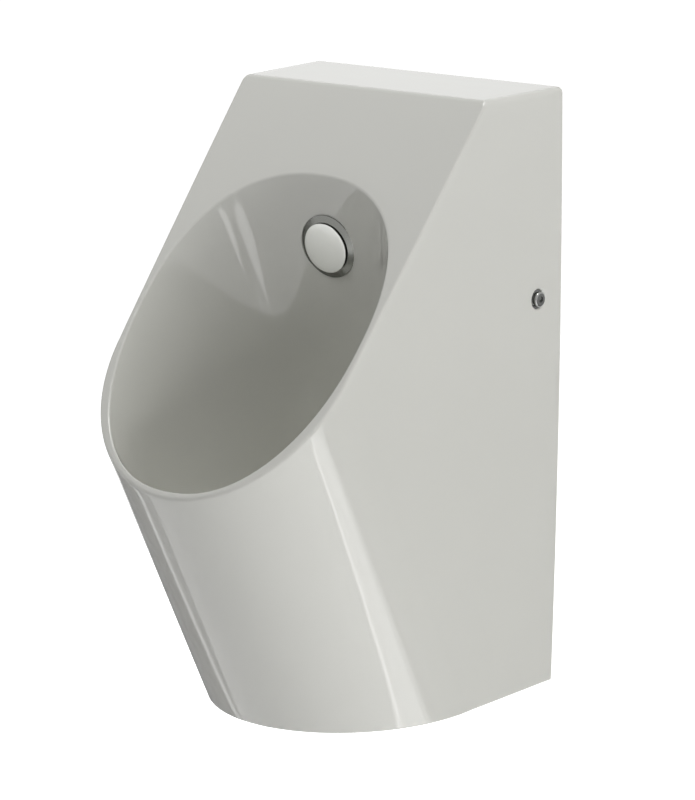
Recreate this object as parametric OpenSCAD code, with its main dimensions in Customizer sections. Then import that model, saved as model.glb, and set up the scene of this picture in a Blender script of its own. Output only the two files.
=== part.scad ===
/* [China body] */
// Width of the sides, before their crown, taper and draft
body_w = 314; // [312:1:340]
// Height from the bottom edge to the top
body_h = 604; // [560:1:640]
// Depth of the flat top, wall to front edge
top_d = 115.3; // [103:0.1:128]
// Angle of the sloping front from the vertical
slope_a = 40.7; // [38.7:0.1:42.7]
// How much each side draws in from the top to the bottom
side_taper = 3.7; // [0:0.1:7]
// How much each side is crowned over half the height
side_crown = 3.2; // [0:0.1:6]
// Share of the height at which the crown of the sides is highest
crown_share = 0.69; // [0.5:0.01:0.8]
// Draft of the sides, from the wall to the front
side_draft_a = 2.2; // [0:0.1:2.4]
// Depth of the straight side at the bottom edge
flank_d = 129.5; // [117:0.1:142]
// Depth of the rounded nose in plan
nose_d = 159.5; // [151.5:0.5:167.5]
// Lean of the nose from the vertical
lean_a = 26.2; // [24.7:0.1:27.7]
// Fullness of the nose curve, where 2 is an ellipse
nose_n = 2; // [2:0.01:2.2]
// Thickness of the china
china_t = 10; // [9:0.5:12]
// Rounding of the outer edges
edge_r = 3.2; // [2.5:0.1:3.6]
// Rounding of the two long corners beside the top
corner_r = 6; // [5.5:0.5:9]
// Rounding of the bottom edge
foot_r = 2; // [1:0.5:6]

/* [Opening and bowl] */
// Width of the opening
open_w = 275; // [266:1:276]
// Length of the opening down the slope
open_len = 349.5; // [340:0.5:351]
// Slope above the opening, from the top edge
open_gap = 102; // [98:1:105]
// Fullness of the opening outline, where 2 is an ellipse
open_n = 2.25; // [2.1:0.01:2.35]
// Share by which the opening narrows towards the front
egg_share = 0.06; // [0:0.001:0.07]
// Rounding of the opening edge
lip_r = 2.4; // [2:0.1:2.8]
// Overhang of the back wall, which carries the sprayer
back_a = 11; // [8:0.5:13]
// Lean of the inner front wall
inner_lean_a = 27.5; // [27:0.5:29]
// Inward draw of the side walls
draw_a = 14; // [11:0.5:16]
// Height at which the walls start to turn into the floor
knee_z = 222; // [214:1:230]
// Height of the floor at the waste
floor_z = 160; // [156:1:166]
// Distance of the waste behind the foot of the nose
waste_setback = 69; // [63:0.1:75]
// Thickness of the floor round the waste
floor_t = 17; // [15:0.5:18]

/* [Sprayer] */
// Distance of the sprayer below the top
spray_drop = 149; // [140:0.1:164]
// Radius of the face of the cap
cap_r = 25.2; // [22:0.1:27]
// Thickness of the cap
cap_t = 1.6; // [1.2:0.1:3]
// Gap under the cap where the water leaves
cap_gap = 1; // [0.6:0.1:2]
// Radius of the foot of the conical collar behind the cap
collar_r = 32; // [31:0.1:34]
// Thickness of the collar
collar_t = 3.4; // [2.9:0.1:4.5]
// Outer radius of the threaded stem
stem_r = 10.4; // [9:0.1:11]
// Length of the threaded stem behind the collar
stem_len = 46; // [42:1:56]
// Radius of the water way in the stem
stem_bore_r = 6; // [4:0.1:7]

/* [Water feed] */
// Outer radius of the feed tube
feed_r = 7; // [5:0.1:8]
// Wall of the feed tube
feed_wall = 1; // [0.8:0.1:1.5]
// Outer radius of the ball elbow in the feed tube
elbow_r = 8.5; // [8.3:0.1:11]
// Straight part of the feed tube next to the sprayer
feed_lead = 45; // [35:1:55]

/* [Waste and trap] */
// Radius of the waste hole in the china
waste_r = 31.5; // [30:0.1:34]
// Outer radius of the waste tail
tail_r = 30; // [28:0.1:31]
// Outer radius of the waste flange
flange_r = 41; // [39:0.5:43]
// Radius of the strainer plate
strainer_r = 35.5; // [34:0.5:37]
// Radius of the strainer holes
strain_hole_r = 2.5; // [1.5:0.1:3]
// Outer radius of the trap bottle
bottle_r = 40; // [37:0.5:44]
// Height of the trap outlet
outlet_z = 80; // [78:0.5:82]
// Outer radius of the outlet pipe
outlet_r = 20; // [18:0.5:20.5]
// Wall of the plastic pipes and of the trap
pipe_wall = 2.5; // [2:0.1:3]
// Length of the outlet pipe that a socket can cover
spigot_len = 60; // [40:1:70]

/* [Wall fixings] */
// Height of the side screws
fix_z = 400; // [370:1:430]
// Distance of the side screws from the wall
fix_d = 36; // [32:1:42]
// Radius of the side holes in the china
fix_hole_r = 10; // [9:0.1:11]
// Radius of the screw shank
screw_r = 4; // [3:0.1:5]
// Radius of the screw head
head_r = 7.6; // [7:0.1:8.5]
// How far the screw head stands out of the side
head_proud = 3.5; // [2:0.1:5]
// Thickness of the bracket steel
steel_t = 4; // [3:0.5:5]
// Height of a bracket
bracket_h = 70; // [64:1:80]
// Width of a bracket along the wall
bracket_w = 54; // [48:1:60]
// Spacing of the wall bolt holes across the wall
bolt_span_x = 190; // [180:1:196]
// Spacing of the wall bolt holes up the wall
bolt_span_z = 44; // [36:1:50]
// Radius of the wall bolt holes
bolt_hole_r = 4.5; // [3:0.1:5.5]

/* [Hidden] */
// Overrun of a cut past a face
over = 5;
// Clearance between still parts
gap = 0.3;

// Faces of a round, and of a small round
facets = 64;
few_facets = 24;
// Play in a thread, of a seal in its seat and of the screws in their nuts
thread_play = 0.3;
seal_play = 0.1;
screw_play = 0.06;

// Distance of the waste from the wall
waste_d = flank_d + nose_d - waste_setback;
// Wall point of the sprayer axis
spray_z = body_h - spray_drop;
spray_y = -top_d - open_gap * sin(slope_a)
    + (body_h - open_gap * cos(slope_a) - spray_z) * tan(back_a);
// Seat cut for the collar, and flat for the seal behind the wall
seat_cut = 12;
seat_play = 0.5;
flat_d = 0.8;
back_seat = flat_d - china_t;
stem_play = 1.2;
// Seals of the sprayer
spray_seal_t = 0.8;
front_seal_r = 30.5;
back_seal_t = 1.5;
back_seal_r = 19;
// Collar: sloped part of its thickness and width, and its weep slots
collar_fall = 2.8;
collar_slope = 5.6;
slot_count = 12;
slot_r = 0.9;
slot_at_r = 22;
// Cap: height of its back and face, edge rounding, and its hollow post with water ports
cap_back = spray_seal_t + collar_t + cap_gap;
cap_face = cap_back + cap_t;
cap_edge_r = 0.6;
post_len = 9;
post_r = stem_bore_r - 0.08;
post_bore_r = 3.2;
port_count = 8;
port_r = 0.5;
// Ring in the groove of the post
groove_r = 4.5;
groove_h = 1.6;
ring_section_r = 0.6;
ring_z = -5;
// Lock nut of the sprayer
lock_nut_t = 7;
lock_nut_across = 30;
// Union nut of the feed
feed_washer_t = 1.5;
feed_collar_t = 1.6;
feed_nut_end_t = 2.5;
feed_nut_len = 19;
feed_nut_across = 27;
feed_start = -stem_len - feed_washer_t;
feed_nut_end = feed_start - feed_collar_t - gap - feed_nut_end_t;
// Centre of the elbow of the feed tube
inlet_z = spray_z + (feed_lead - feed_start) * sin(back_a);
elbow_y = spray_y + (feed_lead - feed_start) * cos(back_a);

// Recess of the waste flange in the bowl floor
recess_d = 5;
drain_seal_t = 2;
flange_t = 3;
flange_z = floor_z - recess_d + drain_seal_t;
// Strainer plate, its rows of holes and its knob
strainer_t = 1.5;
strainer_z = floor_z - strainer_t;
strain_rows = 4;
strain_pitch = 7.2;
knob_r = 4.5;
knob_neck_r = 2.7;
knob_h = 9;
// Nut under the china
waste_nut_t = 10;
lug_count = 8;
lug_r = 4;
// Trap: neck, shoulder, bottle, dip tube and cup
neck_z = 120;
neck_h = 16;
neck_r = 33.5;
tail_end_z = neck_z - neck_h + 2 * gap;
trap_seal_t = 3;
nut_wall = 3.5;
union_nut_h = neck_h + trap_seal_t + nut_wall;
bottle_z = 44;
dip_r = 26;
dip_end_z = 32;
cup_z = 14;
cup_h = 42;
cup_r = 43.5;
cup_taper = 3;
cup_ribs = 16;
cup_ring_r = 1.2;
rib_r = 1.5;
rib_count = 12;
// Outlet: socket on the bottle, where it starts from the wall, and its nut
port_reach = 30;
port_d = waste_d - bottle_r - port_reach;
port_r_out = outlet_r + gap + pipe_wall;
socket_len = 20;
outlet_nut_len = 18;
// Opening in the underside, below the trap
access_r = 54;
access_run = 120;

// Side of the china at the screws
side_x = half_w(fix_z, fix_d);
hole_chamfer = 1;
hole_depth = 2;
// Bracket: outer face of its arm, depth of the arm and bend
spacer_t = 8;
side_gap = 0.7;
arm_x = side_x - china_t - side_gap - spacer_t - gap;
arm_d = 58;
bend_out_r = 8;
arm_play = 0.5;
weld_nut_t = 8;
weld_nut_across = 13;
// Sleeve, washer and screw
sleeve_flange_r = 14;
washer_t = 1.2;
washer_play = 0.5;
screw_len = 34;
head_edge_r = 1.6;
socket_d = 3;
socket_across = 6;

// Columns of the china grid, for half of the outline
nose_cols = 16;
fan_cols = 3;
flank_cols = 6;
corner_cols = 3;
top_cols = 4;
// Steps round an edge, down the skin and down the floor
round_steps = 3;
skin_steps = 3;
floor_steps = 7;

// Share of the side edge that feeds the columns of the bottom corner
fan_share = 0.14;
// Angles on the opening between which the columns of the top corner lie
corner_from_a = 142;
corner_to_a = 152;

function unit(v) = v / norm(v);
function mix(a, b, t) = a + (b - a) * t;
// Half of a superellipse coordinate
function full(v, n) = sign(v) * pow(abs(v), 2 / n);
// Point on a quadratic curve, which rounds the corner at b
function quad_at(a, b, c, t) = pow(1 - t, 2) * a + 2 * t * (1 - t) * b + t * t * c;
// Point on a cubic curve
function cubic_at(a, b, c, d, t) =
    pow(1 - t, 3) * a + 3 * t * pow(1 - t, 2) * b + 3 * t * t * (1 - t) * c + pow(t, 3) * d;

// Outer form: y of the sloping front at a height, half width at a height and depth, and half
// width of the nose at a height
function slope_y(z) = -top_d - (body_h - z) * tan(slope_a);
function half_w(z, d) = body_w / 2 - side_crown * pow(2 * (z / body_h - crown_share), 2)
    - side_taper * (1 - z / body_h) - d * tan(side_draft_a);
function nose_w(z) = half_w(z, flank_d + z * tan(lean_a));
// Nose at a column angle, 0 at the front and 90 at the side
function nose_at(a, z, inset = 0) = [
    (nose_w(z) - inset) * full(sin(a), nose_n),
    -flank_d - z * tan(lean_a) - (nose_d - inset) * full(cos(a), nose_n),
    z];
// Height at which a nose line is this deep behind the sloping front
function nose_z(a, inset = 0, depth = 0) =
    (top_d + body_h * tan(slope_a) - depth / cos(slope_a) - flank_d
        - (nose_d - inset) * full(cos(a), nose_n)) / (tan(lean_a) + tan(slope_a));
// Height at which the nose starts on the sloping side edge
edge_z = nose_z(90);
// Length of the nose down the slope
nose_run = (edge_z - nose_z(0)) / cos(slope_a);

// A column is its kind and its share along that stretch of the outline
columns = concat(
    [for (k = [0:nose_cols]) [0, k / nose_cols]],
    [for (k = [1:fan_cols]) [1, k / fan_cols]],
    [for (k = [1:flank_cols]) [2, k / flank_cols]],
    [for (k = [1:corner_cols]) [3, k / corner_cols]],
    [for (k = [1:top_cols]) [4, k / top_cols]]);
function side_share(c) = c[0] == 1 ? fan_share * c[1] : mix(fan_share, 1, c[1]);

// Loop of the outer edge seen from the front, as [x, z], drawn in by an inset, at this share of
// the depth of the sloping front
function loop_xz(c, inset, r, depth = 1) = let(far = inset + r, top_w =
        half_w(body_h - far, -depth * slope_y(body_h - far)) - far)
    c[0] <= 2 ? let(z = mix(edge_z, body_h - far, side_share(c)))
        [half_w(z, -depth * slope_y(z)) - inset, z]
    : c[0] == 3 ? let(a = 90 * c[1]) [top_w + r * cos(a), body_h - far + r * sin(a)]
    : [top_w * (1 - c[1]), body_h - inset];

// Sharp outer edge of the sloping front, its start on the slope and its end on the skin
function edge_at(c) = c[0] == 0 ? nose_at(90 * c[1], nose_z(90 * c[1]))
    : let(p = loop_xz(c, 0, corner_r)) [p[0], slope_y(p[1]), p[1]];
function edge_slope(c) = c[0] == 0
    ? let(p = edge_at(c), a = nose_w(p[2]),
        s = (edge_z - p[2]) / cos(slope_a),
        n = unit([pow(p[0] / a, nose_n - 1) / a, pow(s / nose_run, nose_n - 1) / nose_run]))
        p - edge_r * [n[0], -n[1] * sin(slope_a), -n[1] * cos(slope_a)]
    : let(p = loop_xz(c, edge_r, corner_r - edge_r)) [p[0], slope_y(p[1]), p[1]];
function edge_skin(c) = c[0] == 0
    ? nose_at(90 * c[1], nose_z(90 * c[1]) - edge_r)
    : on_skin(c, edge_at(c) + [0, edge_r, 0]);

// Ring at the wall, drawn in by an inset, with its own corner rounding
function wall_xz(c, inset, r) =
    c[0] == 0 ? [(half_w(0, 0) - inset - r) * full(sin(90 * c[1]), nose_n), inset]
    : c[0] == 1 ? let(a = 90 * c[1])
        [half_w(0, 0) - inset - r + r * sin(a), inset + r - r * cos(a)]
    : c[0] == 2 ? let(z = mix(inset + r, body_h - inset - corner_r, c[1]))
        [half_w(z, 0) - inset, z]
    : loop_xz(c, inset, corner_r, 0);
function wall_at(c, inset, r) = let(p = wall_xz(c, inset, r)) [p[0], over, p[1]];

// How far back and up the fan at the bottom corner reaches, and where its rows lie on the flank
foot_lift = 4;
foot_fan_share = 0.3;
foot_from_share = 0.6;
foot_to_share = 0.8;
// A point of a column moved across onto the crowned side
function on_skin(c, p, inset = 0) = c[0] == 0 ? [nose_at(90 * c[1], p[2], inset)[0], p[1], p[2]]
    : c[0] <= 2 ? [half_w(p[2], -p[1]) - inset, p[1], p[2]] : p;
// Row t of the turn from the skin to the underside, with the same inset and rounding
function foot_at(c, t, inset, r, start) =
    c[0] == 0 ? quad_at(nose_at(90 * c[1], inset + r, inset), nose_at(90 * c[1], inset, inset),
        nose_at(90 * c[1], inset, inset + r), t)
    : c[0] == 1 ? let(a = mix(90, 90 * c[1], t), y = -flank_d * (1 - foot_fan_share * c[1]) + r * t,
        w = half_w(0, -y) - inset - r)
        [w + r * sin(a), y, inset + r - r * cos(a) + foot_lift * c[1] * (1 - t)]
    : on_skin(c, mix(start, wall_at(c, inset, r), mix(foot_from_share, foot_to_share, t)), inset);

// Opening in the sloping front
open_mid = open_gap + open_len / 2;
function open_a(c) = c[0] == 0 ? 90 * c[1]
    : c[0] <= 2 ? mix(90, corner_from_a, side_share(c))
    : c[0] == 3 ? mix(corner_from_a, corner_to_a, c[1])
    : mix(corner_to_a, 180, c[1]);
// Opening outline as shares of its half width and half length
function open_share(c) = [full(sin(open_a(c)), open_n) * (1 - egg_share * cos(open_a(c))),
    full(cos(open_a(c)), open_n)];
function open_normal(c) = let(p = open_share(c), w = open_w / 2, l = open_len / 2)
    unit([pow(abs(p[0]), open_n - 1) / w, sign(p[1]) * pow(abs(p[1]), open_n - 1) / l]);
function on_slope(x, s) = [x, -top_d - s * sin(slope_a), body_h - s * cos(slope_a)];
function open_at(c, out = 0) = let(p = open_share(c), n = open_normal(c))
    on_slope(p[0] * open_w / 2 + out * n[0], open_mid + p[1] * open_len / 2 + out * n[1]);

// Bowl: the way each wall line runs, for a drop of one
function bowl_dir(c) = let(p = open_share(c),
    turn = (tan(inner_lean_a) + tan(back_a)) / 2, spread = (tan(inner_lean_a) - tan(back_a)) / 2)
    [-p[0] * tan(draw_a), turn + spread * p[1], -1];
flat_r = flange_r + over;
function knee_at(c) = let(p = open_at(c)) p + bowl_dir(c) * (p[2] - knee_z);
function floor_out(c) = let(k = knee_at(c)) unit([k[0], k[1] + waste_d]);
function rim_of_floor(c) = let(d = floor_out(c)) [flat_r * d[0], flat_r * d[1] - waste_d, floor_z];
floor_turn_share = 0.7;
floor_reach_share = 0.5;
floor_fall_share = 0.08;
function floor_at(c, t) = let(k = knee_at(c), f = rim_of_floor(c), d = floor_out(c),
    reach = floor_reach_share * norm([k[0] - f[0], k[1] - f[1]]))
    cubic_at(k, k + bowl_dir(c) * (knee_z - floor_z) * floor_turn_share,
        f + [d[0], d[1], floor_fall_share] * reach, f, t);
// Whole wall line: 0 at the opening, 1 at the edge of the flat floor
function bowl_at(c, p) = p < 0.5 ? mix(open_at(c), knee_at(c), 2 * p) : floor_at(c, 2 * p - 1);

// Back of the bowl, a china thickness behind its face
function behind(c, p) = let(e = 0.01, q = min(p, 1 - e),
    along = unit(bowl_at(c, q + e) - bowl_at(c, q)), d = floor_out(c), n = open_normal(c),
    flat = unit(mix([n[0], -n[1], 0], [d[0], d[1], 0], p)),
    out = unit(flat - along * (flat * along)))
    bowl_at(c, p) + china_t * out;
function slope_depth(p) = (p[1] - slope_y(p[2])) * cos(slope_a);
// Share of the wall line at which bowl and skin part: at the back where the wall meets the
// underside of the sloping front, and lower down towards the nose
part_share = 0.78;
part_power = 1.5;
function part_at(c) = let(e = 0.1, a = slope_depth(behind(c, 0)), b = slope_depth(behind(c, e)))
    max((china_t - a) / (b - a) * e, part_share * pow((1 + open_share(c)[1]) / 2, part_power));

// Hidden edge where the inner skin turns towards the bowl
function inner_edge(c) = let(q = slope_depth(behind(c, part_at(c))))
    c[0] == 0 ? nose_at(90 * c[1], nose_z(90 * c[1], china_t, q), china_t)
    : let(p = loop_xz(c, china_t, corner_r), z = p[1]) [p[0], slope_y(z) + q / cos(slope_a), z];

under_z = floor_z - floor_t;
function column_points(c) = concat(
    [for (k = [floor_steps:-1:0]) floor_at(c, k / floor_steps)],
    [for (k = [0:round_steps]) quad_at(open_at(c) + lip_r * bowl_dir(c), open_at(c),
        open_at(c, lip_r), k / round_steps)],
    [for (k = [0:round_steps]) quad_at(edge_slope(c), edge_at(c), edge_skin(c), k / round_steps)],
    [for (k = [1:skin_steps]) on_skin(c, mix(edge_skin(c), foot_at(c, 0, 0, foot_r, edge_skin(c)),
        k / (skin_steps + 1)))],
    [for (k = [0:round_steps]) foot_at(c, k / round_steps, 0, foot_r, edge_skin(c))],
    [wall_at(c, 0, foot_r)],
    [wall_at(c, china_t, foot_r)],
    [for (k = [round_steps:-1:0]) foot_at(c, k / round_steps, china_t, foot_r, inner_edge(c))],
    [inner_edge(c)],
    [for (k = [0:floor_steps]) behind(c, mix(part_at(c), 1, k / floor_steps)) ],
    [let(d = floor_out(c)) [flat_r * d[0], flat_r * d[1] - waste_d, under_z]]);

function mirrored(p) = [-p[0], p[1], p[2]];
half = [for (c = columns) column_points(c)];
grid = concat(half, [for (i = [len(half) - 2:-1:1]) [for (p = half[i]) mirrored(p)]]);
rows = len(grid[0]);
cols = len(grid);

module china_block() {
    points = concat([for (column = grid) each column],
        [[0, -waste_d, floor_z], [0, -waste_d, under_z]]);
    top = rows * cols;
    faces = concat(
        [for (i = [0:cols - 1], j = [0:rows - 2]) let(k = (i + 1) % cols)
            each [[i * rows + j, k * rows + j, k * rows + j + 1],
                [i * rows + j, k * rows + j + 1, i * rows + j + 1]]],
        [for (i = [0:cols - 1]) let(k = (i + 1) % cols)
            each [[top, k * rows, i * rows],
                [top + 1, i * rows + rows - 1, k * rows + rows - 1]]]);
    polyhedron(points, faces, convexity = 8);
}

// Ring shapes used by the seals, nuts and pipes
module ring(r_out, r_in, h) {
    difference() {
        cylinder(r = r_out, h = h, $fn = facets);
        translate([0, 0, -over]) cylinder(r = r_in, h = h + 2 * over, $fn = facets);
    }
}
module hex_nut(across, r_in, h) {
    difference() {
        cylinder(r = across / 2 / cos(30), h = h, $fn = 6);
        translate([0, 0, -over]) cylinder(r = r_in, h = h + 2 * over, $fn = facets);
    }
}
module round_ring(r, section_r) {
    rotate_extrude($fn = facets) translate([r, 0]) circle(r = section_r, $fn = few_facets);
}
// Places what it holds on the sprayer axis: local z is 0 on the bowl wall and points out of it
module on_sprayer() {
    translate([0, spray_y, spray_z]) rotate([90 + back_a, 0, 0]) children();
}
module on_waste(z) {
    translate([0, -waste_d, z]) children();
}
// Places what it holds on the outlet axis: local z is 0 at the wall and points into the room
module on_outlet() {
    translate([0, 0, outlet_z]) rotate([90, 0, 0]) children();
}
// Places what it holds on the right side screw: local z is 0 on the side and points outwards
module on_fixing() {
    translate([side_x, -fix_d, fix_z]) rotate([0, 90, 0]) children();
}
module both_sides() {
    children();
    mirror([1, 0, 0]) children();
}

module ceramic_body() {
    color("gainsboro") difference() {
        china_block();
        translate([-body_w, 0, -over]) cube([2 * body_w, 2 * over, body_h + 2 * over]);
        on_waste(floor_z - recess_d) cylinder(r = flange_r + gap, h = recess_d + over, $fn = facets);
        on_waste(under_z - over) cylinder(r = waste_r, h = floor_t + 2 * over, $fn = facets);
        on_sprayer() {
            cylinder(r = collar_r + seat_play, h = seat_cut, $fn = facets);
            translate([0, 0, -china_t - seat_cut])
                cylinder(r = stem_r + stem_play, h = china_t + 2 * seat_cut, $fn = facets);
            translate([0, 0, back_seat - seat_cut])
                cylinder(r = back_seal_r + gap, h = seat_cut, $fn = facets);
        }
        both_sides() on_fixing() {
            translate([0, 0, -china_t - over])
                cylinder(r = fix_hole_r, h = china_t + 2 * over, $fn = facets);
            translate([0, 0, -hole_chamfer]) cylinder(r1 = fix_hole_r,
                r2 = fix_hole_r + 2 * hole_chamfer, h = 2 * hole_chamfer, $fn = facets);
        }
        for (y = [-waste_d, -waste_d + access_run])
            translate([0, y, -over]) cylinder(r = access_r, h = china_t + 2 * over, $fn = facets);
        translate([-access_r, -waste_d, -over])
            cube([2 * access_r, access_run, china_t + 2 * over]);
    }
}

module spray_cap() {
    color("gainsboro") on_sprayer() difference() {
        union() {
            rotate_extrude($fn = facets) cap_outline();
            translate([0, 0, -post_len])
                cylinder(r = post_r, h = post_len + cap_back + gap, $fn = facets);
        }
        translate([0, 0, -post_len - over])
            cylinder(r = post_bore_r, h = post_len + over + cap_back, $fn = facets);
        for (a = [0:360 / port_count:359]) rotate([0, 0, a]) translate([0, 0, cap_back - port_r])
            rotate([0, 90, 0]) cylinder(r = port_r, h = 2 * post_r, $fn = few_facets);
        translate([0, 0, ring_z - groove_h / 2]) ring(post_r + over, groove_r, groove_h);
    }
}
// Half section of the cap: a flat face with a rounded edge and a hollow back
module cap_outline() {
    r = cap_edge_r;
    polygon(concat(
        [[0, cap_back], [cap_r - cap_t, cap_back], [cap_r - r / 2, cap_back + r / 2]],
        [for (a = [0:15:90]) [cap_r - r + r * cos(a), cap_face - r + r * sin(a)]],
        [[0, cap_face]]));
}
module cap_ring() {
    color("dimgray") on_sprayer() translate([0, 0, ring_z])
        round_ring(groove_r + ring_section_r + seal_play, ring_section_r);
}
module spray_body() {
    color("silver") on_sprayer() difference() {
        union() {
            translate([0, 0, spray_seal_t])
                cylinder(r = collar_r, h = collar_t - collar_fall, $fn = facets);
            translate([0, 0, spray_seal_t + collar_t - collar_fall])
                cylinder(r1 = collar_r, r2 = collar_r - collar_slope, h = collar_fall, $fn = facets);
            translate([0, 0, -stem_len])
                cylinder(r = stem_r, h = stem_len + spray_seal_t + gap, $fn = facets);
        }
        translate([0, 0, -stem_len - over])
            cylinder(r = stem_bore_r, h = stem_len + 2 * over + cap_back, $fn = facets);
        for (a = [0:360 / slot_count:359]) rotate([0, 0, a])
            translate([slot_at_r, 0, spray_seal_t - over])
                cylinder(r = slot_r, h = collar_t + 2 * over, $fn = few_facets);
    }
}
module spray_front_seal() {
    color("dimgray") on_sprayer() ring(front_seal_r, stem_r + gap, spray_seal_t);
}
module spray_back_seal() {
    color("dimgray") on_sprayer() translate([0, 0, back_seat - back_seal_t])
        ring(back_seal_r, stem_r + gap, back_seal_t);
}
module spray_lock_nut() {
    color("goldenrod") on_sprayer() translate([0, 0, back_seat - back_seal_t - lock_nut_t])
        hex_nut(lock_nut_across, stem_r + thread_play, lock_nut_t);
}
module feed_washer() {
    color("dimgray") on_sprayer() translate([0, 0, -stem_len - feed_washer_t])
        ring(stem_r - gap, feed_r + gap, feed_washer_t);
}
module feed_union_nut() {
    color("goldenrod") on_sprayer() translate([0, 0, feed_nut_end]) difference() {
        hex_nut(feed_nut_across, feed_r + gap, feed_nut_len);
        translate([0, 0, feed_nut_end_t])
            cylinder(r = stem_r + thread_play, h = feed_nut_len, $fn = facets);
    }
}
// The run of the feed tube at a radius, with its ends drawn out
module feed_run(r, extra) {
    on_sprayer() translate([0, 0, feed_start - feed_lead])
        cylinder(r = r, h = feed_lead + extra, $fn = facets);
    translate([0, extra, inlet_z]) rotate([90, 0, 0])
        cylinder(r = r, h = extra - elbow_y, $fn = facets);
}
module feed_tube() {
    color("lightgray") difference() {
        union() {
            feed_run(feed_r, 0);
            translate([0, elbow_y, inlet_z]) sphere(r = elbow_r, $fn = facets);
            on_sprayer() translate([0, 0, feed_start - feed_collar_t])
                cylinder(r = stem_r - gap, h = feed_collar_t, $fn = facets);
        }
        feed_run(feed_r - feed_wall, over);
        translate([0, elbow_y, inlet_z]) sphere(r = elbow_r - feed_wall, $fn = facets);
    }
}

module strainer() {
    color("silver") on_waste(strainer_z) {
        difference() {
            cylinder(r = strainer_r, h = strainer_t, $fn = facets);
            for (row = [1:strain_rows], k = [0:6 * row - 1])
                rotate([0, 0, 60 * k / row]) translate([row * strain_pitch, 0, -over])
                    cylinder(r = strain_hole_r, h = strainer_t + 2 * over, $fn = few_facets);
        }
        rotate_extrude($fn = facets) knob_outline();
    }
}
// Half section of the small lifting knob
module knob_outline() {
    r = knob_r / 2;
    polygon(concat([[0, strainer_t / 2], [knob_neck_r, strainer_t / 2], [knob_neck_r, knob_h / 2]],
        [for (a = [-60:30:90]) [r + r * cos(a), knob_h - r + r * sin(a)]],
        [[0, knob_h]]));
}
module drain_seal() {
    color("dimgray") on_waste(floor_z - recess_d)
        ring(flange_r, waste_r + gap, drain_seal_t);
}
module waste_flange() {
    color("silver") on_waste(flange_z) difference() {
        union() {
            cylinder(r = flange_r, h = flange_t, $fn = facets);
            translate([0, 0, tail_end_z - flange_z])
                cylinder(r = tail_r, h = flange_z - tail_end_z + gap, $fn = facets);
        }
        translate([0, 0, tail_end_z - flange_z - over])
            cylinder(r = tail_r - pipe_wall, h = flange_z - tail_end_z + flange_t + 2 * over,
                $fn = facets);
        translate([0, 0, strainer_z - flange_z])
            cylinder(r = strainer_r + gap, h = flange_t, $fn = facets);
    }
}
module waste_back_seal() {
    color("dimgray") on_waste(under_z - drain_seal_t)
        ring(flange_r, tail_r + gap, drain_seal_t);
}
module waste_lock_nut() {
    color("whitesmoke") on_waste(under_z - drain_seal_t - waste_nut_t) difference() {
        ring(flange_r, tail_r + thread_play, waste_nut_t);
        for (a = [0:360 / lug_count:359]) rotate([0, 0, a]) translate([flange_r, 0, -over])
            cylinder(r = lug_r, h = waste_nut_t + 2 * over, $fn = few_facets);
    }
}
module trap_seal() {
    color("dimgray") on_waste(neck_z) ring(neck_r, tail_r + gap, trap_seal_t);
}
module trap_union_nut() {
    color("whitesmoke") on_waste(neck_z - neck_h + gap) difference() {
        ribbed_ring(neck_r + nut_wall, tail_r + gap, union_nut_h);
        translate([0, 0, -over]) cylinder(r = neck_r + thread_play,
            h = over + neck_h - gap + trap_seal_t + gap, $fn = facets);
    }
}
// Round nut with finger ribs
module ribbed_ring(r_out, r_in, h) {
    difference() {
        union() {
            cylinder(r = r_out, h = h, $fn = facets);
            for (a = [0:360 / rib_count:359]) rotate([0, 0, a]) translate([r_out, 0, 0])
                cylinder(r = rib_r, h = h, $fn = few_facets);
        }
        translate([0, 0, -over]) cylinder(r = r_in, h = h + 2 * over, $fn = facets);
    }
}
module trap_body() {
    shoulder_z = neck_z - neck_h;
    color("whitesmoke") difference() {
        union() {
            on_waste(bottle_z) cylinder(r = bottle_r, h = shoulder_z - bottle_z, $fn = facets);
            on_waste(shoulder_z - gap) cylinder(r = neck_r, h = neck_h + gap, $fn = facets);
            on_outlet() translate([0, 0, port_d])
                cylinder(r = port_r_out, h = waste_d - bottle_r + pipe_wall - port_d, $fn = facets);
        }
        difference() {
            on_waste(bottle_z - over)
                cylinder(r = bottle_r - pipe_wall, h = shoulder_z - pipe_wall - bottle_z + over,
                    $fn = facets);
            on_waste(bottle_z - 2 * over)
                cylinder(r = dip_r, h = shoulder_z - bottle_z + 2 * over, $fn = facets);
        }
        on_waste(bottle_z - over) cylinder(r = dip_r - pipe_wall, h = body_h, $fn = facets);
        on_waste(shoulder_z) cylinder(r = tail_r + gap, h = neck_h + over, $fn = facets);
        on_outlet() translate([0, 0, port_d - over])
            cylinder(r = outlet_r + gap, h = over + socket_len, $fn = facets);
        on_outlet() translate([0, 0, port_d])
            cylinder(r = outlet_r - pipe_wall, h = waste_d - dip_r - pipe_wall - port_d, $fn = facets);
    }
    color("whitesmoke") on_waste(dip_end_z) ring(dip_r, dip_r - pipe_wall, bottle_z - dip_end_z);
}
module cup_ring() {
    color("dimgray") on_waste(bottle_z - cup_ring_r - seal_play)
        round_ring(bottle_r - pipe_wall / 2, cup_ring_r);
}
module trap_cup() {
    ledge = bottle_z - 2 * (cup_ring_r + seal_play) - cup_z;
    color("whitesmoke") on_waste(cup_z) difference() {
        union() {
            cylinder(r1 = cup_r - cup_taper, r2 = cup_r, h = cup_taper, $fn = facets);
            translate([0, 0, cup_taper]) cylinder(r = cup_r, h = cup_h - cup_taper, $fn = facets);
            for (a = [0:360 / cup_ribs:359]) rotate([0, 0, a]) translate([cup_r, 0, cup_taper])
                cylinder(r = rib_r, h = cup_h - cup_taper, $fn = few_facets);
        }
        translate([0, 0, pipe_wall])
            cylinder(r = bottle_r - pipe_wall, h = cup_h, $fn = facets);
        translate([0, 0, ledge]) cylinder(r = bottle_r + thread_play, h = cup_h, $fn = facets);
    }
}
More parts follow.
